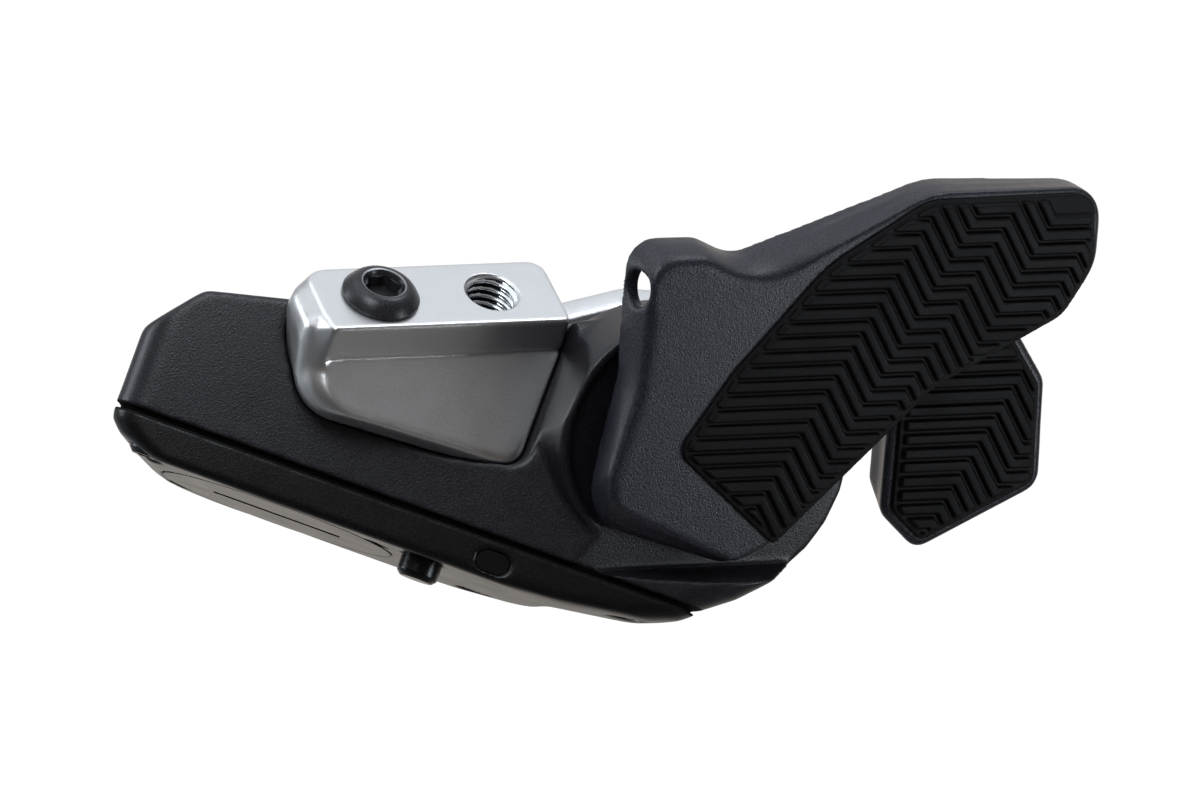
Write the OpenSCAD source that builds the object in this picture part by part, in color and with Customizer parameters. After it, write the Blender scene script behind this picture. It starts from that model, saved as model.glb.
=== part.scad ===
// Two-pad electronic shifter for the right end of a flat handlebar.
// The origin is the mouth of the open threaded hole in the mount face:
// +X runs along the bar to the right, +Y away from the rider, +Z out of the mount face.

/* [Mount block] */
// Width of the mount block across the bar
block_w = 8.6; // [8:0.1:10]
// Height of the mount block
block_h = 8.6; // [8:0.1:9]
// Height of the block's upright front strip
strip_h = 3.4; // [3:0.1:4]
// Distance between the two threaded holes
hole_pitch = 10.9; // [9.6:0.1:12]
// Distance from the open hole to the block's right end
hole_end = 6.3; // [4.5:0.1:7]
// Distance from the bolt's hole to the block's left end
bolt_end = 6; // [5.5:0.1:8]
// Tapping diameter of the threaded holes
tap_d = 4.2; // [3.3:0.1:4.4]
// Depth of the threaded holes
tap_depth = 7; // [5.5:0.5:7.5]
// Forward lean of the leg's face for each millimetre down
leg_lean = 1.1; // [1:0.05:1.2]
// Depth of the step between the front strip and the leg's face
leg_step = 0.6; // [0.2:0.1:1]
// Thickness of the leg
leg_t = 3; // [2.5:0.1:3.4]
// Height of the arm that runs behind the paddle
arm_h = 3.6; // [3:0.1:4]

/* [Clamp bolt] */
// Diameter of the bolt's button head
head_d = 7.1; // [6:0.1:8.5]
// Height of the bolt's button head
head_h = 1.8; // [1.7:0.1:2.6]
// Length of the bolt under its head
bolt_l = 6.4; // [5:0.1:6.8]
// Size of the six-lobe recess across its points
recess_d = 3.9; // [3:0.1:4.2]
// Gap round the bolt's shank
thread_gap = 0.05; // [0.03:0.01:0.1]

/* [Housing] */
// Tilt of the housing about the bar's direction
pod_tilt = 41.4; // [40:0.1:43]
// Turn of the housing towards the rider
pod_turn = 31.9; // [31:0.1:33]
// Roll of the housing along its length
pod_roll = 2.6; // [2:0.1:3]
// Place of the housing's front face
front_y = -0.9; // [-1.2:0.1:-0.6]
// Right end of the housing at the seam
pod_right = 27.5; // [27:0.1:28]
// How much further the housing's right end swells out behind the paddle
swell = 9.1; // [8:0.1:9.5]
// Height of the seam between housing and cover
seam_z = -20.7; // [-21:0.1:-20.4]
// Width of the visible seam
seam_gap = 0.45; // [0.3:0.05:0.6]
// Thickness of the cover's floor
floor_t = 1.3; // [1.2:0.05:1.4]
// Height of the lower cover from its underside to the seam
cover_h = 3.7; // [3.6:0.1:4]
// Wall of both housing shells
wall = 1.4; // [1.2:0.1:1.6]
// Radius of the round boss behind the paddle
boss_r = 11; // [10.6:0.1:11.4]
// Gap between a piece and the seat it is fixed in
seat_gap = 0.08; // [0.05:0.01:0.12]

/* [Battery] */
// Diameter of the coin cell
cell_d = 20; // [19:0.1:20.2]
// Thickness of the coin cell
cell_h = 3.2; // [2.5:0.1:3.2]
// Centre of the cell along the housing
cell_x = -11.5; // [-12:0.1:-11]
// How much wider the battery door is than its cell
door_over = 1.6; // [1.4:0.1:2]
// Room between the cell and the housing's front and back faces
cell_room = 2; // [1.9:0.1:3]
// Room between the cell and the housing's left end
cell_left = 7.1; // [6.6:0.1:8.5]
// Running gap round the battery door
door_gap = 0.1; // [0.06:0.01:0.15]
// Turn of the battery door between locked and open
door_turn = 35; // [30:1:45]

/* [Paddle] */
// Height of the rocker's axis above the mount face
axis_z = 1.5; // [1.3:0.1:1.7]
// Place of the rocker's axis across the bar
axis_y = -14.3; // [-14.6:0.1:-14.1]
// Lean of the paddle's face
face_lean = 65; // [64:0.5:66]
// Depth of the paddle's walls
hood_h = 4.3; // [4.2:0.1:4.8]
// Wall of the paddle
hood_wall = 1.3; // [1.1:0.05:1.35]
// Left end of the paddle's hub
hub_left = 7; // [6.5:0.1:7.5]
// Right end of the big pad
pad_tip = 52.9; // [50:0.1:56]
// Top of the big pad above the rocker's axis
pad_top = 17.2; // [15.5:0.1:19]
// Right end of the small pad
small_tip = 50.8; // [49:0.1:52]
// Left end of the small pad
small_left = 35.4; // [34.5:0.1:37]
// Bottom of the small pad below the rocker's axis
small_low = 18.4; // [17.5:0.1:19.5]
// Margin between the pads' edges and their grips
grip_margin = 0.6; // [0.4:0.1:1]
// Thickness of the grip under its ribs
grip_t = 0.4; // [0.3:0.05:0.6]
// Height of the grip ribs
rib_h = 0.45; // [0.3:0.05:0.6]
// Distance between grip ribs
rib_pitch = 1.3; // [1.2:0.05:1.6]
// Width of a grip rib
rib_w = 0.85; // [0.6:0.05:1]
// Diameter of the pivot pin
pin_d = 2; // [1.8:0.1:2.1]
// Running gap round the pivot pin
pin_gap = 0.04; // [0.02:0.01:0.08]

/* [Button] */
// Diameter of the function button
button_d = 3.8; // [3.4:0.1:4]
// Running gap round the function button
button_gap = 0.08; // [0.05:0.01:0.1]
// Stroke of the function button
button_travel = 0.5; // [0.3:0.05:0.6]
// How far the function button stands out of the cover
button_out = 1.9; // [1.5:0.1:2.2]

/* [Hidden] */
e = 0.01;
fine = 48;

// Colours as the photograph shows them
shell_black = [0.12, 0.12, 0.13];
cover_black = [0.08, 0.08, 0.085];
grip_black = [0.06, 0.06, 0.065];
silver = [0.78, 0.78, 0.77];
steel_black = [0.1, 0.1, 0.1];
bright_steel = [0.7, 0.7, 0.72];
board_green = [0.05, 0.25, 0.15];
spring_gold = [0.75, 0.62, 0.35];

// Lengths that follow from the ones above
block_l = bolt_end + hole_pitch + hole_end;
door_d = cell_d + door_over;
pod_d = cell_d + 2 * cell_room;
pod_left = cell_x - cell_d / 2 - cell_left;

// Heights in the housing
base_z = seam_z - cover_h;
floor_z = base_z + floor_t;
board_t = 1;
board_z = seam_z + 2.3;
roof_z = seam_z + 4.3;
high_roof_z = seam_z + 7.5;
cell_y = front_y + pod_d / 2 + 0.1;
cell_z = floor_z + 0.06;

// Places of the small things in the housing
button_x = 2.2;
button_y = front_y + 4.4;
led_x = 8.2;
led_z = seam_z - 2.1;
screw_places = [[pod_left + 4.3, front_y + 2.9, 1.3], [pod_right - 6.3, front_y + 5, 2.5],
    [7.5, front_y + pod_d - 4.6, 1.3]];
screw_r = 0.9;
screw_head_r = 1.55;
post_r = 2.3;

// Places in the paddle's frame
boss_p = 13.7;
boss_q = -6.5;
boss_face = -2.9;
boss_rim = -2.3;
room_low = -18.4;
rim_n = -1;
face_n = rim_n + hood_h;
ceiling_n = face_n - hood_wall;
pin_r = pin_d / 2;
lug_r = 1.6;
lug_w = 2.1;
lug_left = 9.9;
carrier_left = lug_left + lug_w + 0.3;
carrier_l = 6.2;
lug_right = carrier_left + carrier_l + 0.3;
carrier_foot = -1.5;
bush_l = 1.9;
bush_r = 1.5;
switch_q = [-7, 2.9];
switch_top = [-1.95, -1.7];
switch_p = carrier_left + carrier_l / 2;
small_face_n = -4.2;
small_back_n = -8.2;

// Unit vector along v
function unit(v) = v / norm(v);
// Arc that rounds corner b = [x, y, r] of an outline between its neighbours a and c
function corner(a, b, c, steps) =
    let (u = unit([a.x - b.x, a.y - b.y]), v = unit([c.x - b.x, c.y - b.y]),
         half = acos(max(-1, min(1, u * v))) / 2,
         mid = [b.x, b.y] + unit(u + v) * b.z / sin(half),
         from = [b.x, b.y] + u * b.z / tan(half) - mid,
         turn = (180 - 2 * half) * sign(u.y * v.x - u.x * v.y))
    [for (i = [0:steps]) let (w = turn * i / steps)
        mid + [from.x * cos(w) - from.y * sin(w), from.x * sin(w) + from.y * cos(w)]];
// Closed outline through corners [x, y, r], each rounded with its own radius
function rounded(points, steps = 5) = let (n = len(points))
    [for (i = [0:n - 1])
        each corner(points[(i + n - 1) % n], points[i], points[(i + 1) % n], steps)];
// The same outline moved inwards by d at every point
function inset(loop, d) = let (n = len(loop))
    [for (i = [0:n - 1])
        let (u = unit(loop[i] - loop[(i + n - 1) % n]), v = unit(loop[(i + 1) % n] - loop[i]), m = u + v)
        loop[i] + [-m.y, m.x] * d * 2 / (m * m)];
// The outline as a ring of 3-D points at height z
function at_height(loop, z) = [for (p = loop) [p.x, p.y, z]];

// Closed solid through rings of the same number of points, lowest ring first
module loft(rings) {
    n = len(rings[0]);
    m = len(rings);
    polyhedron(
        points = [for (r = rings) each r],
        faces = concat(
            [[for (i = [0:n - 1]) i]],
            [for (k = [0:m - 2], i = [0:n - 1]) let (j = (i + 1) % n)
                each [[k * n + i, (k + 1) * n + j, k * n + j],
                    [k * n + i, (k + 1) * n + i, (k + 1) * n + j]]],
            [[for (i = [n - 1:-1:0]) (m - 1) * n + i]]), convexity = 6);
}
// Cylinder between two heights
module rod(r, low, high) translate([0, 0, low]) cylinder(r = r, h = high - low, $fn = fine);
// Ring between two radii and two heights
module ring(r_in, r_out, low, high) difference() {
    rod(r_out, low, high);
    rod(r_in, low - 1, high + 1);
}

// The housing's own frame and the paddle's own frame, whose local X is the rocker's axis
module in_pod() rotate([-pod_tilt, pod_roll, -pod_turn]) children();
module in_paddle() translate([0, axis_y, axis_z]) rotate([face_lean, 0, 0]) children();

// Plan outline of the pod between its left end l and its right end r
function pod_plan(l, r) = rounded([
    [l, front_y, 2.5], [r, front_y, 2.6], [r - 1.6, front_y + 10, 5],
    [min(12, r - 4), front_y + pod_d - 0.8, 7], [l + 2.7, front_y + pod_d, 7]]);

// Outer walls of the upper shell, whose right end swells out behind the paddle
module pod_walls() {
    ends = [[seam_gap / 2, 0], [2.3, 0.3], [4.7, 0.55], [7.1, 0.75], [9.3, 0.89], [12.1, 0.98],
            [15.2, 1], [18.7, 0.93], [26.7, 0.65]];
    loft([for (k = ends) at_height(pod_plan(pod_left, pod_right + swell * k[1]), seam_z + k[0])]);
}
// Front view of the upper shell: left bevel, saddle for the bracket and rounded right end
module pod_profile() {
    outline = rounded([
        [pod_left - 1, -40, 0.1], [38, -40, 0.1], [38, -6, 3], [33.5, 0, 4], [25, 2.6, 6],
        [12.5, 2.2, 3], [7, -0.4, 6], [-16.5, -6.7, 6], [-24.2, -8.6, 1.2], [-29.6, -15, 1.2]]);
    translate([0, 60, 0]) rotate([90, 0, 0]) linear_extrude(90) polygon(outline);
}
// Round boss that the paddle rocks on, with a thin raised rim
module boss() in_paddle() difference() {
    translate([boss_p, boss_q, 0]) drum(boss_r, -10, boss_rim);
    translate([boss_p, boss_q, 0]) drum(boss_r - 1, boss_face, 5);
}
module drum(r, low, high) translate([0, 0, low]) cylinder(r = r, h = high - low, $fn = 72);

// Ears that hold the pivot pin
module pivot_lugs() in_paddle() for (p = [lug_left, lug_right])
    translate([p, 0, 0]) difference() {
        union() {
            rotate([0, 90, 0]) cylinder(r = lug_r, h = lug_w, $fn = fine);
            translate([0, -lug_r, boss_face - 1]) cube([lug_w, 2 * lug_r, -boss_face + 1]);
        }
        translate([-1, 0, 0]) rotate([0, 90, 0]) cylinder(r = pin_r, h = lug_w + 2, $fn = fine);
    }
// Space that the rocking paddle sweeps in front of the housing, deeper by more behind it
module paddle_room(more = 0) in_paddle()
    translate([-2, room_low - more, boss_rim - more]) cube([60, 60, 30]);

// Hollow of the upper shell above the seam
module upper_hollow() {
    plan = inset(pod_plan(pod_left, pod_right), wall);
    translate([0, 0, seam_z - 1]) linear_extrude(roof_z - seam_z + 1) polygon(plan);
    intersection() {
        linear_extrude(100, center = true) polygon(inset(pod_plan(pod_left, pod_right), wall + 0.4));
        union() {
            translate([pod_left + 6, front_y + 6, roof_z - e]) cube([30, pod_d, high_roof_z - roof_z]);
            translate([pod_left + 4, front_y + 2, roof_z - e]) cube([5, pod_d - 6, roof_z - seam_z]);
            translate([pod_left + 8.6, front_y + 13, roof_z - e])
                cube([30, pod_d, high_roof_z - roof_z + 4.2]);
        }
    }
}
module screw_posts(low, high) for (s = screw_places) translate([s.x, s.y, 0]) rod(post_r, low, high);

module upper_housing() color(shell_black) difference() {
    union() {
        difference() {
            union() {
                difference() {
                    in_pod() intersection() {
                        pod_walls();
                        pod_profile();
                    }
                    paddle_room();
                }
                boss();
                arm_post();
            }
            difference() {
                in_pod() upper_hollow();
                paddle_room(wall);
            }
        }
        pivot_lugs();
        difference() {
            in_pod() intersection() {
                screw_posts(seam_z + seam_gap / 2, roof_z + 1);
                linear_extrude(100, center = true) polygon(inset(pod_plan(pod_left, pod_right), 0.3));
            }
            paddle_room();
        }
    }
    bracket_solid(seat_gap);
    leg_room();
    bracket_screw_holes();
    in_pod() for (s = screw_places) translate([s.x, s.y, 0]) rod(screw_r, seam_z - 1, roof_z);
    in_paddle() for (k = [0, 1]) translate([switch_p, switch_q[k], switch_top[k] - 1.8]) switch_pocket();
}

// Lower cover: a tray whose left end and underside edges are drawn in
module cover_solid() loft([
    at_height(inset(pod_plan(pod_left + 4, pod_right - 15.5), 0.5), base_z),
    at_height(pod_plan(pod_left + 3.4, pod_right - 11.5), base_z + 0.35),
    at_height(pod_plan(pod_left + 1.2, pod_right - 4.1), base_z + 1.4),
    at_height(pod_plan(pod_left + 0.2, pod_right - 1.5), base_z + 2.4),
    at_height(pod_plan(pod_left, pod_right - 0.2), seam_z - seam_gap / 2)]);

module door_notches() for (a = [0, 180]) rotate([0, 0, a - door_turn]) door_lug(0.35);
// One bayonet lug of the door, or its notch when grown
module door_lug(grow) intersection() {
    rod(door_d / 2 + 0.8 + grow, base_z - 1, floor_z + 0.8);
    translate([0, -lug_w / 2 - grow, base_z - 2]) cube([20, lug_w + 2 * grow, cover_h]);
}

module lower_cover() color(cover_black) in_pod() difference() {
    union() {
        difference() {
            cover_solid();
            translate([0, 0, floor_z]) linear_extrude(20)
                polygon(inset(pod_plan(pod_left + 2, pod_right - 13.5), wall));
            translate([0, 0, base_z + 2.7]) linear_extrude(20)
                polygon(inset(pod_plan(pod_left, pod_right - 0.2), wall));
        }
        intersection() {
            cover_solid();
            screw_posts(base_z, seam_z - seam_gap / 2);
        }
    }
    translate([cell_x, cell_y, 0]) {
        rod(door_d / 2 + door_gap, base_z - 1, floor_z + 1);
        door_notches();
    }
    translate([button_x, button_y, 0]) rod(button_d / 2 + button_gap, base_z - 1, floor_z + 1);
    for (s = screw_places) translate([s.x, s.y, 0]) {
        rod(screw_r + 0.15, base_z - 1, seam_z + 1);
        rod(screw_head_r + 0.1, base_z - 3, base_z + s.z);
    }
    led_window_solid(seat_gap, 3);
}

// Dark gasket that shows as the seam
module seam_gasket() color(grip_black) in_pod() difference() {
    translate([0, 0, seam_z - seam_gap / 2]) linear_extrude(seam_gap) difference() {
        polygon(inset(pod_plan(pod_left, pod_right - 0.2), 0.5));
        polygon(inset(pod_plan(pod_left, pod_right - 0.2), wall - 0.1));
    }
    for (s = screw_places) translate([s.x, s.y, 0]) rod(screw_r + 0.2, seam_z - 1, seam_z + 1);
}

// Corners of the leg's face and of its rounded rim, in the face's own plane
function leg_face() = rounded([
    [hole_end - block_l, 1.5, 0.1], [hole_end - block_l, -4.9, 3], [1, -10.7, 1.9],
    [hole_end - 0.4, -0.6, 0.6], [hole_end - 0.4, 1.5, 0.1]], 6);
function leg_rim() = rounded([
    [hole_end - block_l - flare, 1.6, 0.1], [hole_end - block_l - flare, -4.5, 4.4], [0.9, -11.3, 2.5],
    [hole_end + 0.3, -0.8, 0.6], [hole_end + 0.3, 1.6, 0.1]], 6);
flare = 1.9;
leg_front = -block_w / 2 + leg_step;
arm_start = [hole_end - 3, -0.2, -5.4];
arm_knee = [14, 0.6, -3.4];
arm_end = [21.5, -0.5, -3.6];
foot_screw = [-5.5, 0.4];
foot_seat_z = -12.8;

// Block outline seen from above, with its left end flared by f
function block_outline(front, f) = rounded([
    [hole_end - block_l, front, 0.5], [hole_end, front, 0.7], [hole_end, block_w / 2, 1.6],
    [hole_end - block_l - f, block_w / 2, 2.2], [hole_end - block_l - f * 1.4 - 0.1, front + 2.4, 1.6]]);
// The leg's own frame, with its face at height 0
module in_leg() translate([0, leg_front, -strip_h]) rotate([atan(1 / leg_lean), 0, 0]) children();
// Ring on the leg, k = 0 at its face and 1 at its back, which is deeper towards the left
function leg_ring(outline, k, g) = [for (p = outline) let (d = leg_t + (hole_end - p.x) * 0.18)
    [p.x + 0.43 * d * max(0, k - 0.36), p.y + 0.15 * d * max(0, k - 0.36), -d * k - g]];

// Left end, one round sweep from the block's top down to the leg's rim
module left_end(grow) difference() {
    hull() {
        for (r = [[-strip_h + 0.2, 1.2], [-1.6, 0.95], [-0.6, 0.3]])
            translate([hole_end - block_l, 0, r[0]]) {
                translate([0.9, 0.9 - block_w / 2, 0]) cylinder(r = 0.8 + grow, h = 0.1, $fn = 24);
                translate([1.5 - r[1] * 1.4, 2.9 - block_w / 2, 0])
                    cylinder(r = 1.6 + grow, h = 0.1, $fn = 48);
                translate([2.2 - r[1] * 1.3, block_w / 2 - 2.3, 0])
                    cylinder(r = 2.2 + grow, h = 0.1, $fn = 48);
            }
        in_leg() translate([hole_end - block_l - flare + 4.45, -1.36, -3])
            cylinder(r = 4.4 + grow, h = 0.3, $fn = 72);
    }
    in_leg() linear_extrude(14) polygon(inset(leg_face(), 0.05 - grow));
}
// The whole bracket as one casting; grow opens it up into the seat cut in the housing
module bracket_solid(grow) {
    loft([for (r = [[-strip_h, 1.2], [-1.6, 0.9], [-0.25, 0.15]])
            at_height(inset(block_outline(-block_w / 2, r[1]), -grow), r[0]),
        at_height(inset(block_outline(-block_w / 2, 0.1), 0.2 - grow), grow)]);
    loft([for (r = [[-block_h - grow, 0.2], [-5.4, 0.8], [-strip_h + e, 1.2]])
        at_height(inset(block_outline(leg_front, r[1]), -grow), r[0])]);
    in_leg() loft([
        leg_ring(inset(leg_rim(), -grow), 1, grow),
        leg_ring(inset(leg_rim(), -grow), 0.36, 0),
        leg_ring(inset(mix(leg_rim(), leg_face(), 0.45), -grow), 0.12, 0),
        leg_ring(inset(leg_face(), -grow), 0, -grow)]);
    left_end(grow);
    hull() for (p = [arm_start, arm_knee]) translate(p) arm_section(grow);
    hull() for (p = [arm_knee, arm_end]) translate(p) arm_section(grow);
    translate([arm_end.x, arm_end.y, arm_end.z]) rod(3.1 + grow, -arm_h / 2 - grow, arm_h / 2 - 0.6);
}
module arm_section(grow)
    cylinder(r1 = 1.9 + grow, r2 = 1.3 + grow, h = arm_h + 2 * grow, center = true, $fn = 24);
// Clear space in front of the leg's face
module leg_room() in_leg() linear_extrude(14) polygon(inset(leg_face(), -0.3 - seat_gap));
// Post on the housing that carries the arm's end
module arm_post() translate([arm_end.x, arm_end.y, 0]) rod(3.4, -13, arm_end.z - arm_h / 2 - e);

module bracket_screw_holes() {
    translate([arm_end.x, arm_end.y, 0]) rod(1.2, arm_end.z - 9, arm_end.z);
    translate([foot_screw.x, foot_screw.y, 0]) {
        rod(1.6, foot_seat_z - 1, -block_h + 1);
        rod(2.6, foot_seat_z - 9, foot_seat_z);
    }
}

module clamp_bracket() color(silver) difference() {
    bracket_solid(0);
    for (x = [0, -hole_pitch]) translate([x, 0, 0]) rod(tap_d / 2, -tap_depth, 1);
    translate([arm_end.x, arm_end.y, 0]) {
        rod(1.6, arm_end.z - 6, arm_end.z + 6);
        rod(2.5, arm_end.z + arm_h / 2 - 0.6, arm_end.z + 6);
    }
    translate([foot_screw.x, foot_screw.y, 0]) rod(1.2, -block_h - 1, -block_h + 4.5);
}

// Six-lobe recess of size d across its points
module six_lobe(d, depth) translate([0, 0, -depth]) linear_extrude(depth + 1) difference() {
    circle(r = d / 2, $fn = fine);
    for (a = [0:60:300]) rotate(a + 30) translate([d * 0.56, 0]) circle(r = d * 0.14, $fn = 24);
}

module clamp_bolt() color(steel_black) translate([-hole_pitch, 0, 0]) difference() {
    union() {
        rod(tap_d / 2 - thread_gap, -bolt_l, 0.2);
        rotate_extrude($fn = 72) polygon(concat([[0, 0], [head_d / 2 - 0.25, 0], [head_d / 2, 0.3]],
            [for (a = [0:12:60]) [recess_d / 2 + 0.45 + (head_d / 2 - recess_d / 2 - 0.45) * cos(a * 1.5),
                0.3 + (head_h - 0.3) * sin(a * 1.5)]], [[0, head_h]]));
    }
    translate([0, 0, head_h]) six_lobe(recess_d, 1.7);
}

// Screw standing on its head's underside at height 0, pointing down
module screw(r, l, head_r, h) difference() {
    union() {
        rod(r, -l, 0.1);
        rotate_extrude($fn = fine)
            polygon([[0, 0], [head_r, 0], [head_r, h * 0.6], [head_r * 0.75, h], [0, h]]);
    }
    translate([0, 0, h]) six_lobe(head_r * 1.1, h * 0.55);
}

module bracket_screws() color(bright_steel) {
    translate([arm_end.x, arm_end.y, arm_end.z + arm_h / 2 - 0.6]) screw(1.2 - e, 8, 2.3, 1.5);
    translate([foot_screw.x, foot_screw.y, foot_seat_z]) mirror([0, 0, 1]) screw(1.2 - e, 7.5, 2.3, 1.5);
}

module cover_screws() color(bright_steel) in_pod() for (s = screw_places)
    translate([s.x, s.y, base_z + s.z]) mirror([0, 0, 1]) screw(screw_r - e, 5.3, screw_head_r, 1.1);

module battery_door() color(cover_black) in_pod() translate([cell_x, cell_y, 0]) difference() {
    union() {
        rod(door_d / 2, base_z, floor_z);
        ring(cell_d / 2 + 0.3, door_d / 2, floor_z - 0.2, floor_z + 0.7);
        for (a = [0, 180]) rotate([0, 0, a])
            translate([cell_d / 2 + 0.4, -lug_w / 2, floor_z + 0.04]) cube([1.1, lug_w, 0.66]);
    }
    rotate_extrude($fn = 72)
        translate([door_d / 2, (base_z + floor_z) / 2]) square([0.7, 0.6], center = true);
    translate([-6, -0.8, base_z - 1]) cube([12, 1.6, 1.6]);
}

module door_seal() color(grip_black) in_pod() translate([cell_x, cell_y, (base_z + floor_z) / 2])
    rotate_extrude($fn = 72) translate([door_d / 2 - 0.12, 0]) circle(r = 0.18, $fn = 12);

module coin_cell() color(bright_steel) in_pod() translate([cell_x, cell_y, cell_z])
    rotate_extrude($fn = 72) polygon([[0, 0], [cell_d / 2 - 0.5, 0], [cell_d / 2, 0.5],
        [cell_d / 2, cell_h - 0.7], [cell_d / 2 - 0.5, cell_h - 0.25], [cell_d / 2 - 1.3, cell_h - 0.25],
        [cell_d / 2 - 1.5, cell_h], [0, cell_h]]);

// Thin strip of metal along a path in the XZ plane
module strip(path, width, t) translate([0, width / 2, 0]) rotate([90, 0, 0]) linear_extrude(width)
    polygon(concat(path, [for (i = [len(path) - 1:-1:0]) path[i] + [0, t]]));

// Side contact that grips the cell's edge, and middle contact that presses on its top
module cell_clip() color(spring_gold) in_pod() translate([cell_x + cell_d / 2 + 0.35, cell_y, 0]) {
    translate([0, -1.5, floor_z + 0.9]) cube([0.25, 3, board_z - floor_z - 0.9]);
}
module cell_leaf() color(spring_gold) in_pod() translate([cell_x, cell_y, 0])
    strip([[-4.5, board_z - 0.25], [-3.2, board_z - 0.25], [-1, cell_z + cell_h + 0.02],
        [1, cell_z + cell_h + 0.02]], 2.4, 0.2);

module circuit_board() color(board_green) in_pod() difference() {
    translate([0, 0, board_z]) linear_extrude(board_t)
        polygon(inset(pod_plan(pod_left, pod_right - 10.5), wall + 0.5));
    for (s = screw_places) translate([s.x, s.y, 0]) rod(post_r + 0.2, seam_z, roof_z + 1);
}
module radio_module() color(bright_steel) in_pod()
    translate([-20, cell_y - 2, board_z + board_t]) cube([11, 9, 1.6]);
module button_switch() color(steel_black) in_pod() translate([button_x, button_y, 0]) {
    translate([-1.6, -1.4, board_z - 1.1]) cube([3.2, 2.8, 1.1]);
    rod(0.7, board_z - 1.35, board_z - 1);
}
module status_led() color([0.9, 0.9, 0.8]) in_pod()
    translate([led_x - 0.9, front_y + wall + 0.6, board_z - 0.7]) cube([1.8, 1.2, 0.7]);

// Clear light pipe: an oval plug in the front wall with a foot that reaches up to the LED
module led_window_solid(grow, extra) {
    translate([led_x, front_y + 0.35 - extra, led_z]) rotate([-90, 0, 0])
        linear_extrude(2.2 + extra) hull() for (x = [-0.55, 0.55])
            translate([x, 0]) circle(r = 0.95 + grow, $fn = 32);
}
module led_window() color([0.75, 0.78, 0.8]) in_pod() {
    led_window_solid(0, 0);
    translate([led_x - 0.8, front_y + wall + 0.5, floor_z + 0.05])
        cube([1.6, 1.2, board_z - 0.8 - floor_z - 0.05]);
}

module function_button() color(steel_black) in_pod() translate([button_x, button_y, 0]) {
    rotate_extrude($fn = fine) polygon([[0, base_z - button_out], [button_d / 2 - 0.4, base_z - button_out],
        [button_d / 2, base_z - button_out + 0.4], [button_d / 2, floor_z + 0.06],
        [button_d / 2 + 0.5, floor_z + 0.06], [button_d / 2 + 0.5, floor_z + 0.7], [0.9, floor_z + 0.7],
        [0.9, board_z - 1.35 - button_travel - 0.06], [0, board_z - 1.35 - button_travel - 0.06]]);
}
module button_seal() color(grip_black) in_pod() translate([button_x, button_y, 0])
    ring(button_d / 2 + 0.62, button_d / 2 + 1.05, floor_z, floor_z + 1);

module switch_pocket() translate([-1.65, -1.45, 0]) cube([3.3, 2.9, 2]);
module rocker_switches() color(steel_black) in_paddle() for (k = [0, 1])
    translate([switch_p, switch_q[k], switch_top[k] - 1.8]) {
        translate([-1.6, -1.4, 0]) cube([3.2, 2.8, 1]);
        rod(0.6, 0.9, 1.8);
    }
// Flexible strip that joins the rocker's switches to the board
module switch_flex() color([0.6, 0.35, 0.1]) in_pod()
    translate([14, front_y + 9, board_z + board_t]) cube([4, 5, 0.25]);

module pivot_pin() color(bright_steel) in_paddle() translate([lug_left, 0, 0]) rotate([0, 90, 0])
    cylinder(r = pin_r, h = lug_right + lug_w - lug_left, $fn = fine);
module pivot_bushings() color(spring_gold) in_paddle()
    for (p = [carrier_left + 0.05, carrier_left + carrier_l - bush_l - 0.05])
        translate([p, 0, 0]) rotate([0, 90, 0]) ring(pin_r + pin_gap, bush_r, 0, bush_l);

// Centring spring wound round the pin, swept as a helix
module centring_spring() color(bright_steel) in_paddle() {
    turns = 3;
    steps = 12;
    wire = 0.2;
    coil_r = 1.32;
    start = carrier_left + bush_l + 0.3;
    pitch = (carrier_l - 2 * bush_l - 0.6 - 2 * wire) / turns;
    sweep = [for (k = [0:turns * steps]) let (a = 360 * k / steps, p = start + wire + pitch * k / steps)
        [for (s = [0:60:300]) let (r = coil_r + wire * sin(s)) [p + wire * cos(s), r * cos(a), r * sin(a)]]];
    loft(sweep);
}

module rocker_carrier() color(bright_steel) in_paddle() difference() {
    union() {
        translate([carrier_left, 0, 0]) rotate([0, 90, 0])
            cylinder(r = ceiling_n - 0.05, h = carrier_l, $fn = fine);
        translate([carrier_left, switch_q[0] - 1, carrier_foot])
            cube([carrier_l, switch_q[1] - switch_q[0] + 2, ceiling_n - carrier_foot]);
    }
    translate([carrier_left - 1, 0, 0]) rotate([0, 90, 0])
        cylinder(r = bush_r, h = carrier_l + 2, $fn = fine);
    translate([carrier_left + bush_l + 0.1, -2.4, -5])
        cube([carrier_l - 2 * bush_l - 0.2, 4.8, 5 + ceiling_n - 0.3]);
    translate([switch_p, -4.6, 0]) {
        rod(1, carrier_foot - 1, ceiling_n + 1);
        rod(1.8, carrier_foot - 1, carrier_foot + 1.2);
    }
}
module carrier_bolt() color(steel_black) in_paddle() translate([switch_p, -4.6, carrier_foot + 1.2])
    mirror([0, 0, 1]) screw(1 - e, 3.05, 1.7, 1.1);

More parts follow.
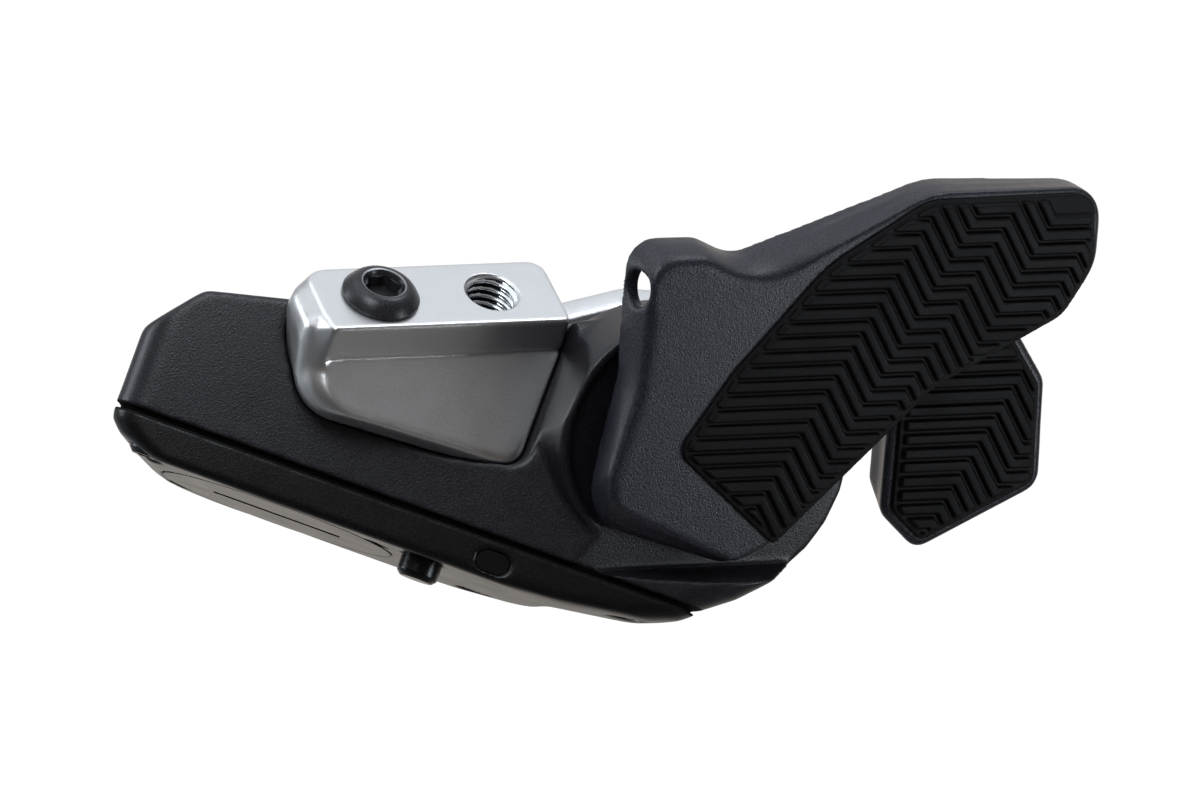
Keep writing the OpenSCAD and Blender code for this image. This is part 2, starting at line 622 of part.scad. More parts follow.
// Paddle outlines: at the open back and round the front face, from the hub's lower left corner on
function paddle_back() = rounded([
    [hub_left - 2.6, -13.2, 4.6], [18.2, -17.6, 3], [22.4, -14.6, 1.7], [36, -1.1, 5],
    [pad_tip - 4.3, pad_top - 12.5, 3.4], [pad_tip - 0.4, pad_top - 8, 4],
    [pad_tip, pad_top - 0.6, 4.4], [pad_tip - 17.5, pad_top, 9], [hub_left + 10, 10.9, 4],
    [hub_left + 6.4, 12.6, 2.5], [hub_left - 0.1, 12.7, 2.8], [hub_left, 0, 8]], 6);
function paddle_front() = rounded([
    [hub_left - 2.6, -10.4, 3.2], [17.8, -16.6, 2.2], [22.2, -14.6, 1.7], [36, -1.1, 5],
    [pad_tip - 4.7, pad_top - 12, 3.6], [pad_tip - 1.7, pad_top - 7.7, 5],
    [pad_tip - 1.7, pad_top - 0.3, 2.8], [pad_tip - 18.3, pad_top - 0.4, 8], [hub_left + 11.6, 8.8, 8],
    [hub_left + 6.2, 11.6, 2], [hub_left + 1.2, 11.6, 2.4], [hub_left + 0.4, 0, 8]], 6);
function mix(a, b, t) = [for (i = [0:len(a) - 1]) a[i] * (1 - t) + b[i] * t];

module paddle_shell(d, low, high) loft([
    at_height(inset(paddle_back(), d), low),
    at_height(inset(mix(paddle_back(), paddle_front(), 0.25), d), min(high - 0.5, face_n * 0.35)),
    at_height(inset(mix(paddle_back(), paddle_front(), 0.7), d), min(high - 0.3, face_n * 0.75)),
    at_height(inset(paddle_front(), d), high)]);
function small_outline() = rounded([
    [small_left, 3.6 - small_low, 2], [small_left + 3.8, -small_low, 1.6],
    [small_tip + 0.2, 5.6 - small_low, 2], [small_tip, 15.5 - small_low, 1.8],
    [small_tip - 4.4, 22.2 - small_low, 2], [small_left + 3.2, 21 - small_low, 2],
    [small_left + 0.2, 14.4 - small_low, 2]], 5);

module rocker_paddle() color(shell_black) in_paddle() difference() {
    union() {
        difference() {
            paddle_shell(0, rim_n, face_n);
            paddle_shell(hood_wall, rim_n - 1, ceiling_n);
        }
        intersection() {
            paddle_shell(0.5, rim_n, face_n - 0.5);
            for (p = [27, 36, 45]) translate([p, -20, rim_n]) cube([1, 40, hood_h - 1]);
        }
        loft([at_height([for (p = inset(small_outline(), 1.5)) p + [-0.9, 1.6]], small_back_n - 0.8),
            at_height(inset(small_outline(), 0.7), small_back_n + 1.3),
            at_height(small_outline(), small_face_n - 0.5),
            at_height(inset(small_outline(), 0.4), small_face_n)]);
        hull() {
            translate([39.5, 2.4, small_back_n + 2]) cube([6, 1.6, 2]);
            translate([40.5, 5.4, rim_n]) cube([6, 2.4, 2.6]);
        }
    }
    translate([5, 8.5, face_n / 2 - 0.5]) rotate([0, 90, 0]) cylinder(r = 1.65, h = 5, $fn = fine);
    translate([switch_p, -4.6, 0]) rod(1, carrier_foot, face_n - 0.5);
}

// Grip outlines on the big and the small pad
function upper_grip_outline() = rounded([
    [hub_left + 4.4, -6.2, 1.6], [21.4, -15, 0.6], [36, -1.1, 5],
    [pad_tip - 4.7, pad_top - 12, 3.6], [pad_tip - 1.7 - grip_margin / 2, pad_top - 7.7, 5],
    [pad_tip - 1.7 - grip_margin, pad_top - grip_margin - 0.2, 2],
    [pad_tip - 18.5, pad_top - grip_margin - 0.4, 5], [hub_left + 18, 10.6, 14],
    [hub_left + 9.4, 1, 12]], 6);
function lower_grip_outline() = inset(small_outline(), grip_margin + 0.3);

// Line that runs level and steps down between its level runs, from point [x, y] on
function stairs(runs, step, x = 0, y = 0, k = 0) = k == len(runs) ? [] : concat(
    [[x, y], [x + runs[k], y]],
    stairs(runs, step, x + runs[k] + step * cos(60), y - step * sin(60), k + 1));
// Stepped ribs side by side; each is the one before, moved along its corners' mitre
module rib_field(start, runs, step, count) {
    line = stairs(runs, step);
    mitre = [1 / tan(60), 1];
    half = mitre * rib_w / 2;
    for (k = [0:count - 1]) translate(start + mitre * rib_pitch * k)
        polygon(concat([for (p = line) p + half], [for (i = [len(line) - 1:-1:0]) line[i] - half]));
}
module grip(outline, base) {
    translate([0, 0, base]) linear_extrude(grip_t) polygon(outline);
    translate([0, 0, base + grip_t - e]) linear_extrude(rib_h + e) intersection() {
        polygon(inset(outline, 0.55));
        children();
    }
}
module upper_grip() color(grip_black) in_paddle() grip(upper_grip_outline(), face_n)
    rib_field([hub_left - 20, -12], [32, 3.4, 4.6, 40], 4.5, 27);
module lower_grip() color(grip_black) in_paddle() grip(lower_grip_outline(), small_face_n)
    rib_field([small_left - 18, 1.5 - small_low], [22, 5.4, 20], 4.5, 20);

upper_housing();
lower_cover();
seam_gasket();
clamp_bracket();
clamp_bolt();
bracket_screws();
cover_screws();
battery_door();
door_seal();
coin_cell();
cell_clip();
cell_leaf();
circuit_board();
radio_module();
button_switch();
status_led();
led_window();
function_button();
button_seal();
rocker_switches();
switch_flex();
pivot_pin();
pivot_bushings();
centring_spring();
rocker_carrier();
carrier_bolt();
rocker_paddle();
upper_grip();
lower_grip();
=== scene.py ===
"""Studio scene of a right-hand electronic shifter pod with a two-pad rocker paddle."""

import logging
import math
from collections.abc import Callable, Iterable
from dataclasses import dataclass
from enum import Enum

import bmesh
import bpy
from mathutils import Euler, Matrix, Vector

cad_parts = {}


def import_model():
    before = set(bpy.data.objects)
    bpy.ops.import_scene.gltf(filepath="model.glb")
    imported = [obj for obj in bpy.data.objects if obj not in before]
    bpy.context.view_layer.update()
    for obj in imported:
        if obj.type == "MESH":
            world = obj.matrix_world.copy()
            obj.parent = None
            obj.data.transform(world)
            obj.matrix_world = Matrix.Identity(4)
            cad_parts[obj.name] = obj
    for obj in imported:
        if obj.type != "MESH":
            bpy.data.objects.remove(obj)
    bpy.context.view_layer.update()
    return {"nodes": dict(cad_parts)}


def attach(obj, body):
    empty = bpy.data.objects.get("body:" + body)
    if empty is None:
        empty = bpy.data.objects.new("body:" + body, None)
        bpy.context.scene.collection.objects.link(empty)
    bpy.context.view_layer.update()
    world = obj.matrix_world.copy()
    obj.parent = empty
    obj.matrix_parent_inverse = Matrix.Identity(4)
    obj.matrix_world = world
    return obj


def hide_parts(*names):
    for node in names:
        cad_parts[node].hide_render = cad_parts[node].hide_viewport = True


LOG = logging.getLogger("shifter")
MM = 0.001

# How the pod leans in the row frame, in degrees, and the height of its seam in its own frame
POD_TILT = (-41.4, 2.6, -31.9)
SEAM_Z = -20.7

# Colour sockets of a Mix node, whose names its other types share
MIX_FIRST, MIX_SECOND, MIX_RESULT = 6, 7, 2

WHITE = (1.0, 1.0, 1.0)

# Sizes of a finish's specks and patches as shares of its grain, and their finer octaves
SPECK_SCALE, PATCH_SCALE = 0.8, 14.0
SPECK_OCTAVES, PATCH_OCTAVES = 2.0, 3.0

# Span of the noise that shows as specks on a moulded skin, and how much stronger they are
MOULD_SPECKS = (0.38, 0.72)
MOULD_SPECK_GAIN = 3.5

# Stretch of the noise that turns specks into brush strokes along X
BRUSHED_STRETCH = (0.12, 1.0, 1.0)

# Roughness of the clear coats, spread of a finish's own roughness, and the least it may be
COAT_ROUGHNESS = 0.12
GLOSS_SPREAD = 0.18
LEAST_ROUGHNESS = 0.05

# Strength of the grain's relief, and the width over which the painted shade along the seam fades
RELIEF_STRENGTH = 0.9
SEAM_SHADE_EDGE_MM = 0.12

# How far one smoothing round moves a point, as a share of the way to its neighbours' middle
SMOOTH_FACTOR = 0.5

# Largest angle in degrees that looks smooth on the CAD nodes that are shown as they are
CARRIED_ANGLE = 30.0

Socket = bpy.types.NodeSocket
Tree = bpy.types.NodeTree
Rgb = tuple[float, float, float]
Point = tuple[float, float, float]
Range = tuple[float, float]
Nodes = dict[str, bpy.types.Object]


class Body(Enum):
    """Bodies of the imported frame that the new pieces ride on."""

    POD = "pod"
    ROCKER = "rocker"
    BUTTON = "button"


class Grain(Enum):
    """How a surface is structured when seen close by."""

    MOULDED = "moulded"
    CAST = "cast"
    ELASTOMER = "elastomer"
    BRUSHED = "brushed"
    PLAIN = "plain"


def calculate(tree: Tree, operation: str, first: Socket | float, second: Socket | float) -> Socket:
    """Work out a number from two others.

    Args:
        tree: Node tree that takes the step.
        operation: Blender's name of the sum.
        first: First number, or the socket that gives it.
        second: Second number, or the socket that gives it.

    Returns:
        The result.
    """
    step = tree.nodes.new("ShaderNodeMath")
    step.operation = operation
    for socket, value in zip(step.inputs, (first, second)):
        if isinstance(value, Socket):
            tree.links.new(value, socket)
        else:
            socket.default_value = value
    return step.outputs["Value"]


def project(tree: Tree, place: Socket, axis: Iterable[float]) -> Socket:
    """Measure how far a place lies along an axis.

    Args:
        tree: Node tree that takes the step.
        place: The place.
        axis: The axis.

    Returns:
        The distance.
    """
    step = tree.nodes.new("ShaderNodeVectorMath")
    step.operation = "DOT_PRODUCT"
    step.inputs[1].default_value = axis
    tree.links.new(place, step.inputs[0])
    return step.outputs["Value"]


def map_range(tree: Tree, value: Socket, source: Range, target: Range = (0.0, 1.0)) -> Socket:
    """Map one range of numbers onto another, and hold it at both ends.

    Args:
        tree: Node tree that takes the step.
        value: The number.
        source: Range that it comes from.
        target: Range that it goes to.

    Returns:
        The mapped number.
    """
    step = tree.nodes.new("ShaderNodeMapRange")
    step.inputs["From Min"].default_value, step.inputs["From Max"].default_value = source
    step.inputs["To Min"].default_value, step.inputs["To Max"].default_value = target
    tree.links.new(value, step.inputs["Value"])
    return step.outputs["Result"]


def colour_ramp(tree: Tree, share: Socket, low: Rgb, high: Rgb, ends: Range = (0.0, 1.0)) -> Socket:
    """Fade from one colour to another.

    Args:
        tree: Node tree that takes the step.
        share: Share of the second colour.
        low: First colour.
        high: Second colour.
        ends: Shares at which the fade starts and ends.

    Returns:
        The colour.
    """
    step = tree.nodes.new("ShaderNodeValToRGB")
    for stop, colour, at in zip(step.color_ramp.elements, (low, high), ends):
        stop.position = at
        stop.color = (*colour, 1.0)
    tree.links.new(share, step.inputs["Fac"])
    return step.outputs["Color"]


def colour_choice(tree: Tree, share: Socket, colour: Socket, other: Rgb) -> Socket:
    """Turn a colour into another by a share.

    Args:
        tree: Node tree that takes the step.
        share: Share of the other colour.
        colour: The colour.
        other: The other colour.

    Returns:
        The mixed colour.
    """
    step = tree.nodes.new("ShaderNodeMix")
    step.data_type = "RGBA"
    step.inputs[MIX_SECOND].default_value = (*other, 1.0)
    tree.links.new(share, step.inputs["Factor"])
    tree.links.new(colour, step.inputs[MIX_FIRST])
    return step.outputs[MIX_RESULT]


def mix_shaders(tree: Tree, share: Socket, first: Socket, second: Socket) -> Socket:
    """Mix two shaders.

    Args:
        tree: Node tree that takes the step.
        share: Share of the second shader.
        first: First shader.
        second: Second shader.

    Returns:
        The mixed shader.
    """
    step = tree.nodes.new("ShaderNodeMixShader")
    for socket, value in zip(step.inputs, (share, first, second)):
        tree.links.new(value, socket)
    return step.outputs["Shader"]


@dataclass(frozen=True)
class Finish:
    """One finish with its colour, gloss and grain.

    Attributes:
        name: Name of the material.
        colour: Linear base colour.
        roughness: Mean roughness.
        grain: Structure of the surface.
        metallic: Share of metal.
        grain_mm: Size of the grain in millimetres.
        relief: Height of the grain in millimetres.
        variation: How much the colour varies from place to place.
        coat: Weight of the clear coat.
        specular: Specular level.
        seam_shade_mm: Half the width of the painted shade along the seam between the halves, or 0.
    """

    name: str
    colour: Rgb
    roughness: float
    grain: Grain = Grain.PLAIN
    metallic: float = 0.0
    grain_mm: float = 0.3
    relief: float = 0.01
    variation: float = 0.1
    coat: float = 0.0
    specular: float = 0.5
    seam_shade_mm: float = 0.0

    def material(self) -> bpy.types.Material:
        """Make the material, or return it if it was made before.

        Returns:
            The node material of this finish.
        """
        name = f"look_{self.name}"
        known = bpy.data.materials.get(name)
        if known is not None:
            return known
        made = bpy.data.materials.new(name)
        made.use_nodes = True
        tree = made.node_tree
        shader = tree.nodes["Principled BSDF"]
        shader.inputs["Base Color"].default_value = (*self.colour, 1.0)
        shader.inputs["Metallic"].default_value = self.metallic
        shader.inputs["Specular IOR Level"].default_value = self.specular
        shader.inputs["Coat Weight"].default_value = self.coat
        shader.inputs["Coat Roughness"].default_value = COAT_ROUGHNESS
        place = tree.nodes.new("ShaderNodeTexCoord").outputs["Object"]
        colour = self._speckled_colour(tree, place)
        gloss = self._patchy_gloss(tree, place)
        # Painted shade: the surface along the seam is darkened and made matt, standing for the
        # shade in the gap between the halves
        if self.seam_shade_mm > 0.0:
            beside = self._beside_seam_shade(tree, place)
            colour = self._painted_shade(tree, colour, beside)
            gloss = calculate(tree, "MAXIMUM", calculate(tree, "SUBTRACT", 1.0, beside), gloss)
        tree.links.new(colour, shader.inputs["Base Color"])
        tree.links.new(gloss, shader.inputs["Roughness"])
        tree.links.new(self._relief(tree, place), shader.inputs["Normal"])
        return made

    def _noise(self, tree: Tree, place: Socket, size_mm: float, octaves: float) -> Socket:
        """Add a noise of one size.

        Args:
            tree: Node tree that takes the noise.
            place: Coordinates in metres.
            size_mm: Size of one speck in millimetres.
            octaves: Number of finer octaves.

        Returns:
            The noise's value.
        """
        noise = tree.nodes.new("ShaderNodeTexNoise")
        noise.inputs["Scale"].default_value = 1.0 / (size_mm * MM)
        noise.inputs["Detail"].default_value = octaves
        stretch = tree.nodes.new("ShaderNodeMapping")
        if self.grain is Grain.BRUSHED:
            stretch.inputs["Scale"].default_value = BRUSHED_STRETCH
        tree.links.new(place, stretch.inputs["Vector"])
        tree.links.new(stretch.outputs["Vector"], noise.inputs["Vector"])
        return noise.outputs["Fac"]

    def _speckled_colour(self, tree: Tree, place: Socket) -> Socket:
        """Let the colour vary from speck to speck.

        Args:
            tree: Node tree of the material.
            place: Coordinates in metres.

        Returns:
            The colour.
        """
        low, high = 1.0 - self.variation, 1.0 + self.variation
        ends = (0.0, 1.0)
        if self.grain is Grain.MOULDED:
            high = 1.0 + MOULD_SPECK_GAIN * self.variation
            ends = MOULD_SPECKS
        dark = tuple(c * low for c in self.colour)
        pale = tuple(min(1.0, c * high) for c in self.colour)
        speck = self._noise(tree, place, self.grain_mm * SPECK_SCALE, SPECK_OCTAVES)
        return colour_ramp(tree, speck, dark, pale, ends)

    def _patchy_gloss(self, tree: Tree, place: Socket) -> Socket:
        """Let the roughness vary over larger patches.

        Args:
            tree: Node tree of the material.
            place: Coordinates in metres.

        Returns:
            The roughness.
        """
        least = max(LEAST_ROUGHNESS, self.roughness * (1.0 - GLOSS_SPREAD))
        most = min(1.0, self.roughness * (1.0 + GLOSS_SPREAD))
        patch = self._noise(tree, place, self.grain_mm * PATCH_SCALE, PATCH_OCTAVES)
        return map_range(tree, patch, (0.0, 1.0), (least, most))

    def _beside_seam_shade(self, tree: Tree, place: Socket) -> Socket:
        """Tell the painted shade along the pod's seam from the surface beside it.

        Args:
            tree: Node tree of the material.
            place: Coordinates in metres.

        Returns:
            Nothing in the painted seam shade, all beside it.
        """
        turn = Euler([math.radians(a) for a in POD_TILT]).to_matrix()
        height = calculate(tree, "SUBTRACT", project(tree, place, turn.col[2]), SEAM_Z * MM)
        away = calculate(tree, "ABSOLUTE", height, 0.0)
        return map_range(tree, away, (self.seam_shade_mm * MM, (self.seam_shade_mm + SEAM_SHADE_EDGE_MM) * MM))

    @staticmethod
    def _painted_shade(tree: Tree, colour: Socket, share: Socket) -> Socket:
        """Paint shade into a colour by scaling it by a share.

        Args:
            tree: Node tree of the material.
            colour: The colour.
            share: Share of it that is left.

        Returns:
            The darker colour.
        """
        step = tree.nodes.new("ShaderNodeVectorMath")
        step.operation = "SCALE"
        tree.links.new(colour, step.inputs[0])
        tree.links.new(share, step.inputs["Scale"])
        return step.outputs["Vector"]

    def _relief(self, tree: Tree, place: Socket) -> Socket:
        """Raise the grain.

        Args:
            tree: Node tree of the material.
            place: Coordinates in metres.

        Returns:
            The surface's direction with the grain.
        """
        bump = tree.nodes.new("ShaderNodeBump")
        bump.inputs["Strength"].default_value = RELIEF_STRENGTH
        bump.inputs["Distance"].default_value = self.relief * MM
        grains = self._noise(tree, place, self.grain_mm, SPECK_OCTAVES)
        tree.links.new(grains, bump.inputs["Height"])
        return bump.outputs["Normal"]


SHELL = Finish(
    "shell_black",
    (0.0095, 0.0092, 0.0125),
    roughness=0.36,
    grain=Grain.MOULDED,
    grain_mm=0.16,
    relief=0.03,
    variation=0.5,
    # Half the width of the painted shade along the seam
    seam_shade_mm=0.36,
)
COVER = Finish(
    "cover_black",
    (0.0045, 0.0042, 0.0042),
    roughness=0.33,
    grain=Grain.MOULDED,
    grain_mm=0.24,
    relief=0.014,
    variation=0.3,
    specular=0.4,
    # Half the width of the painted shade along the seam
    seam_shade_mm=0.42,
)
PADDLE = Finish(
    "paddle_black",
    (0.0135, 0.014, 0.02),
    roughness=0.36,
    grain=Grain.MOULDED,
    grain_mm=0.16,
    relief=0.045,
    variation=0.65,
)
BUTTON = Finish(
    "button_black",
    (0.002, 0.002, 0.0022),
    roughness=0.25,
    grain=Grain.MOULDED,
    grain_mm=0.2,
    relief=0.006,
)
SWITCH = Finish(
    "switch_black",
    (0.02, 0.02, 0.02),
    roughness=0.5,
    grain=Grain.MOULDED,
    grain_mm=0.2,
    relief=0.006,
)
GRIP = Finish(
    "grip_rubber",
    (0.004, 0.0038, 0.004),
    roughness=0.55,
    grain=Grain.ELASTOMER,
    relief=0.02,
    variation=0.3,
    specular=0.18,
)
# Black rubber, made darker still as painted shade for the gaps in which the seals lie
SEAL = Finish(
    "seal_rubber", (0.001, 0.001, 0.001), roughness=0.9, grain=Grain.ELASTOMER, specular=0.08
)
CASTING = Finish(
    "cast_alloy",
    (0.86, 0.86, 0.855),
    roughness=0.3,
    grain=Grain.CAST,
    metallic=0.95,
    grain_mm=0.16,
    relief=0.016,
    variation=0.12,
)
TUMBLED = Finish(
    "carrier_metal",
    (0.5, 0.5, 0.52),
    roughness=0.4,
    grain=Grain.CAST,
    metallic=1.0,
    grain_mm=0.2,
    relief=0.006,
)
OXIDE = Finish(
    "bolt_black",
    (0.036, 0.036, 0.039),
    roughness=0.3,
    grain=Grain.MOULDED,
    metallic=0.5,
    grain_mm=0.16,
    variation=0.25,
)
# Painted highlight: a pale metal ring round the bolt's recess
RIM_HIGHLIGHT = Finish("bolt_rim_highlight", (0.3, 0.3, 0.31), roughness=0.3, metallic=0.9, relief=0.003)
# Painted shade for the thread's roots, where the crests above shade them; the crests are bare
# bright alloy
THREAD_ROOT_SHADE = Finish(
    "thread_root_shade", (0.02, 0.02, 0.022), roughness=0.3, metallic=0.8, grain_mm=0.4, relief=0.002
)
THREAD_CREST = Finish(
    "thread_crest", (0.8, 0.82, 0.84), roughness=0.18, metallic=1.0, grain_mm=0.4, relief=0.002
)
ZINC = Finish(
    "bright_steel", (0.62, 0.62, 0.63), roughness=0.25, metallic=1.0, grain_mm=0.4, relief=0.003
)
CONTACT = Finish(
    "contact_metal", (0.72, 0.55, 0.28), roughness=0.25, metallic=1.0, grain_mm=0.4, relief=0.003
)
CELL = Finish(
    "cell_steel",
    (0.62, 0.62, 0.62),
    roughness=0.3,
    grain=Grain.BRUSHED,
    metallic=1.0,
    grain_mm=0.2,
    relief=0.003,
)
CAN = Finish(
    "shield_can",
    (0.58, 0.59, 0.6),
    roughness=0.35,
    grain=Grain.BRUSHED,
    metallic=1.0,
    relief=0.004,
)
WIRE = Finish("spring_steel", (0.5, 0.5, 0.52), roughness=0.3, grain=Grain.BRUSHED, metallic=1.0)
BOARD = Finish(
    "board", (0.012, 0.12, 0.06), roughness=0.3, grain_mm=1.4, relief=0.02, variation=0.35
)
WINDOW = Finish(
    "window", (0.004, 0.004, 0.005), roughness=0.08, grain_mm=0.8, relief=0.002, coat=0.9
)
LAMP_BODY = Finish("led_body", (0.8, 0.78, 0.68), roughness=0.3)
FILM = Finish("flex_film", (0.5, 0.22, 0.04), roughness=0.3)
ACETAL = Finish("bushing", (0.5, 0.46, 0.36), roughness=0.4)


@dataclass
class Piece:
    """A visible piece: an object, the body it rides on and its finish.

    Attributes:
        obj: The Blender object.
        body: The body that carries it.
        finish: Its finish.
        slot: Name of its material slot; not used.
        nodes: CAD nodes that it stands for.
    """

    obj: bpy.types.Object
    body: Body
    finish: Finish
    slot: str
    nodes: tuple[str, ...]

    def place(self) -> bpy.types.Object:
        """Dress the piece, let it ride and hide the CAD nodes that it stands for.

        Returns:
            The finished object.
        """
        self.obj.data.materials.clear()
        self.obj.data.materials.append(self.finish.material())
        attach(self.obj, self.body.value)
        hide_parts(*self.nodes)
        LOG.info("%s: %d faces", self.obj.name, len(self.obj.data.polygons))
        return self.obj


def ramp(value: float, low: float, high: float) -> float:
    """Rise from 0 to 1 between two values.

    Args:
        value: The value.
        low: Where the rise starts.
        high: Where it ends, which may lie below its start.

    Returns:
        The share between 0 and 1.
    """
    return min(1.0, max(0.0, (value - low) / (high - low)))


def object_from_mesh(name: str, mesh: bpy.types.Mesh) -> bpy.types.Object:
    """Put a mesh in the scene.

    Args:
        name: Name of the object.
        mesh: Its mesh.

    Returns:
        The new object.
    """
    made = bpy.data.objects.new(name, mesh)
    bpy.context.scene.collection.objects.link(made)
    return made


def shade_by_angle(mesh: bpy.types.Mesh, degrees: float) -> None:
    """Shade a mesh smooth, except across edges sharper than an angle.

    Args:
        mesh: The mesh.
        degrees: Largest angle that still looks smooth.
    """
    mesh.shade_smooth()
    mesh.set_sharp_from_angle(angle=math.radians(degrees))


def dress(nodes: Nodes, finishes: dict[str, Finish]) -> None:
    """Give carried-over CAD nodes their finish and smooth shading.

    Args:
        nodes: CAD nodes by name.
        finishes: Finish by node name.
    """
    for name, finish in finishes.items():
        obj = nodes[name]
        obj.data.materials.clear()
        obj.data.materials.append(finish.material())
        shade_by_angle(obj.data, CARRIED_ANGLE)
        LOG.info("%s: %s", name, finish.name)


def apply_modifiers(obj: bpy.types.Object) -> None:
    """Bake an object's modifiers into its mesh.

    Args:
        obj: The object.
    """
    graph = bpy.context.evaluated_depsgraph_get()
    baked = bpy.data.meshes.new_from_object(obj.evaluated_get(graph))
    obj.modifiers.clear()
    old = obj.data
    obj.data = baked
    bpy.data.meshes.remove(old)


def add_smoothing(obj: bpy.types.Object, rounds: int, group: str = "") -> None:
    """Smooth an object's mesh.

    Args:
        obj: The object.
        rounds: Number of rounds.
        group: Vertex group that weighs them, if any.
    """
    step = obj.modifiers.new("soft", "SMOOTH")
    step.factor = SMOOTH_FACTOR
    step.iterations = rounds
    step.vertex_group = group
    apply_modifiers(obj)


@dataclass(frozen=True)
class Moulding:
    """How the rounded copy of a CAD solid is made.

    Attributes:
        voxel_mm: Size of the skin's cells in millimetres.
        rounds: Number of smoothing rounds, which sets the edge radius.
        most_faces: Largest number of triangles that is kept.
        more_rounds: Number of further rounds where the shape is softer.
    """

    voxel_mm: float
    rounds: int
    most_faces: int = 160_000
    more_rounds: int = 60

    def copy(
        self,
        node: bpy.types.Object,
        name: str,
        softer: Callable[[Vector], float] | None = None,
    ) -> bpy.types.Object:
        """Make a copy of a CAD solid whose edges are rounded as in a mould.

        Args:
            node: The CAD node's object.
            name: Name of the new piece.
            softer: Share of the further rounds at a point in metres, if any.

        Returns:
            The new object, shaded smooth.
        """
        made = object_from_mesh(name, node.data.copy())
        skin = made.modifiers.new("skin", "REMESH")
        skin.mode = "VOXEL"
        skin.voxel_size = self.voxel_mm * MM
        add_smoothing(made, self.rounds)
        if softer is not None:
            group = made.vertex_groups.new(name="softer")
            for vertex in made.data.vertices:
                share = softer(vertex.co)
                if share > 0.0:
                    group.add((vertex.index,), share, "REPLACE")
            add_smoothing(made, self.more_rounds, group.name)
        faces = 2 * len(made.data.polygons)
        if faces > self.most_faces:
            thin = made.modifiers.new("thin", "DECIMATE")
            thin.ratio = self.most_faces / faces
            apply_modifiers(made)
        made.data.shade_smooth()
        return made


def circle(radius: float, height: float, steps: int) -> list[Point]:
    """Place points on a level circle about the Z axis.

    Args:
        radius: Its radius, or 0 for a single point.
        height: Its height.
        steps: Number of points.

    Returns:
        The points.
    """
    if radius == 0.0:
        return [(0.0, 0.0, height)]
    angles = [math.tau * i / steps for i in range(steps)]
    return [(radius * math.cos(angle), radius * math.sin(angle), height) for angle in angles]


def loft(name: str, rings: list[list[Point]], origin: Point = (0.0, 0.0, 0.0)) -> bpy.types.Object:
    """Skin a stack of rings into a closed solid.

    Args:
        name: Name of the object.
        rings: Points of each ring in millimetres, from below, or a single point at an end.
        origin: Place of the stack's own origin in millimetres.

    Returns:
        The solid.
    """
    shape = bmesh.new()
    rows = [[shape.verts.new(Vector(point) * MM) for point in ring] for ring in rings]
    for lower, upper in zip(rows, rows[1:]):
        steps = max(len(lower), len(upper))
        for i in range(steps):
            j = (i + 1) % steps
            corners = (
                lower[i % len(lower)],
                lower[j % len(lower)],
                upper[j % len(upper)],
                upper[i % len(upper)],
            )
            shape.faces.new(list(dict.fromkeys(corners)))
    for end in (rows[0][::-1], rows[-1]):
        if len(end) > 1:
            shape.faces.new(end)
    bmesh.ops.recalc_face_normals(shape, faces=shape.faces)
    bmesh.ops.translate(shape, vec=Vector(origin) * MM, verts=shape.verts)
    mesh = bpy.data.meshes.new(name)
    shape.to_mesh(mesh)
    shape.free()
    return object_from_mesh(name, mesh)


def cut_away(obj: bpy.types.Object, cutter: bpy.types.Object) -> None:
    """Cut one solid out of another and delete the cutter.

    Args:
        obj: The solid that stays.
        cutter: The solid that is taken away.
    """
    step = obj.modifiers.new("cut", "BOOLEAN")
    step.operation = "DIFFERENCE"
    step.solver = "EXACT"
    step.object = cutter
    apply_modifiers(obj)
    bpy.data.objects.remove(cutter)


